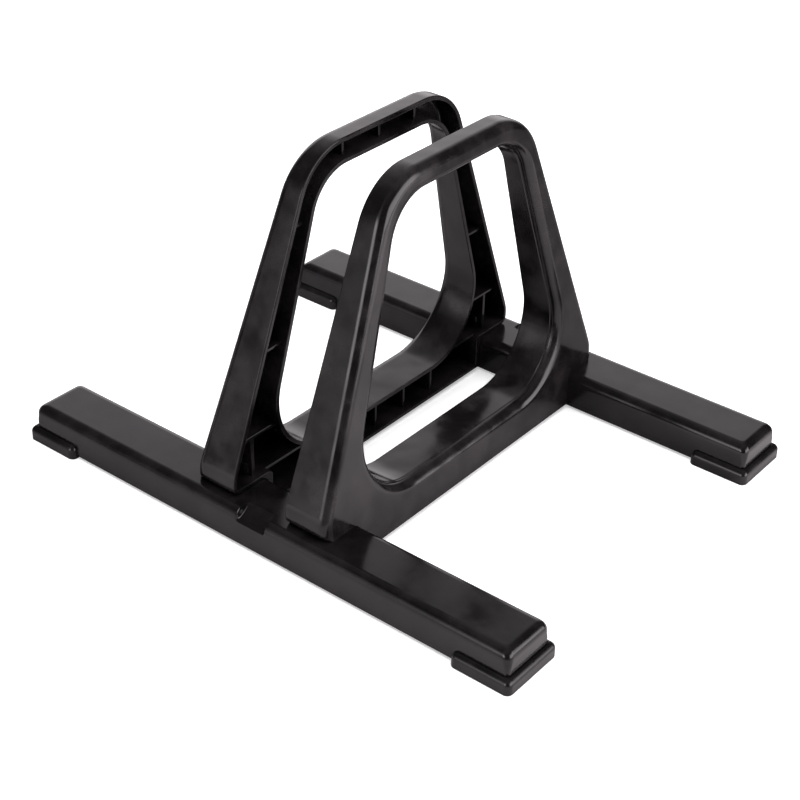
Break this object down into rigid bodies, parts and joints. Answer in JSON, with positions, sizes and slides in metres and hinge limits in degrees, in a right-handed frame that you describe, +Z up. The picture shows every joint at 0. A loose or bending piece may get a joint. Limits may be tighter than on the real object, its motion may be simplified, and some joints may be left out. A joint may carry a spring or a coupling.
{
  "type": "floor bike rack",
  "caption": "Free-standing plastic floor rack that holds a bicycle wheel between twin open-backed arches on base rails with end pads.",
  "frame": {"origin": "on the floor under the middle of the rack, halfway between the rails and the arches", "axes": "+X along the rails, +Y from the front rail to the rear rail, which is the way the wheel rolls, +Z up"},
  "size_m": [0.5916, 0.4658, 0.3464],
  "materials": {
    "rail": "semi-gloss moulded black plastic",
    "arch": "satin moulded black plastic",
    "pad": "slightly soft moulded black plastic",
    "screw": "zinc plated",
    "washer": "zinc plated"
  },
  "bodies": {
    "root": {"rail_front": "rail", "rail_rear": "rail", "arch_left": "arch", "arch_right": "arch", "pad_front_left": "pad", "pad_front_right": "pad", "pad_rear_left": "pad", "pad_rear_right": "pad", "arch_screws": "screw", "arch_screw_washers": "washer", "pad_screws": "screw"}
  },
  "joints": []
}
